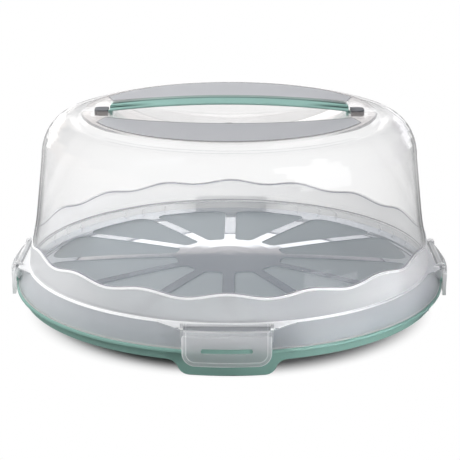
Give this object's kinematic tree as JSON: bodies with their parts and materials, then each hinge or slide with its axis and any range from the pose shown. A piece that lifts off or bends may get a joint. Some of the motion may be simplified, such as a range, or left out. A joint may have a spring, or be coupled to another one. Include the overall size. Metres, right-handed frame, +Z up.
{
  "type": "cake carrier",
  "caption": "Round cake carrier: clear dome lid held by hinged clips over a footed base tray and a slice-marked serving plate, with a bar handle over a finger scoop.",
  "frame": {"origin": "centre of the tray on the table, at the feet's lowest level", "axes": "+Z up, -Y towards the front clip, +X along the handle to the right"},
  "size_m": [0.3474, 0.3474, 0.1678],
  "materials": {
    "mint_plastic": "satin mint green",
    "grey_plastic": "matte fields between glossy spokes, blue-grey",
    "clear_plastic": "clear and glossy, frosted below the wavy line and on the two top panels",
    "dark_plastic": "satin dark grey",
    "frosted_plastic": "frosted, translucent"
  },
  "bodies": {
    "tray": {"base_tray": "mint_plastic"},
    "plate": {"serving_plate": "grey_plastic"},
    "lid": {"dome_lid": "clear_plastic", "carry_handle": "mint_plastic", "left_handle_anchor": "dark_plastic", "right_handle_anchor": "dark_plastic"},
    "clip_front": {"front_clip": "frosted_plastic"},
    "clip_right": {"right_clip": "frosted_plastic"},
    "clip_back": {"back_clip": "frosted_plastic"},
    "clip_left": {"left_clip": "frosted_plastic"}
  },
  "joints": [
    {"name": "lid_lift", "type": "slide", "parent": "tray", "child": "lid", "axis": [0, 0, 1], "range_m": [0, 0.3]},
    {"name": "plate_lift", "type": "slide", "parent": "tray", "child": "plate", "axis": [0, 0, 1], "range_m": [0, 0.15]},
    {"name": "front_clip_hinge", "type": "hinge", "parent": "lid", "child": "clip_front", "pos_m": [0, -0.1658, 0.0386], "axis": [-1, 0, 0], "range_deg": [0, 135]},
    {"name": "right_clip_hinge", "type": "hinge", "parent": "lid", "child": "clip_right", "pos_m": [0.1658, 0, 0.0386], "axis": [0, -1, 0], "range_deg": [0, 135]},
    {"name": "back_clip_hinge", "type": "hinge", "parent": "lid", "child": "clip_back", "pos_m": [0, 0.1658, 0.0386], "axis": [1, 0, 0], "range_deg": [0, 135]},
    {"name": "left_clip_hinge", "type": "hinge", "parent": "lid", "child": "clip_left", "pos_m": [-0.1658, 0, 0.0386], "axis": [0, 1, 0], "range_deg": [0, 135]}
  ],
  "couplings": [
    {"joint": "plate_lift", "follows": "lid_lift", "ratio": 0.5}
  ]
}
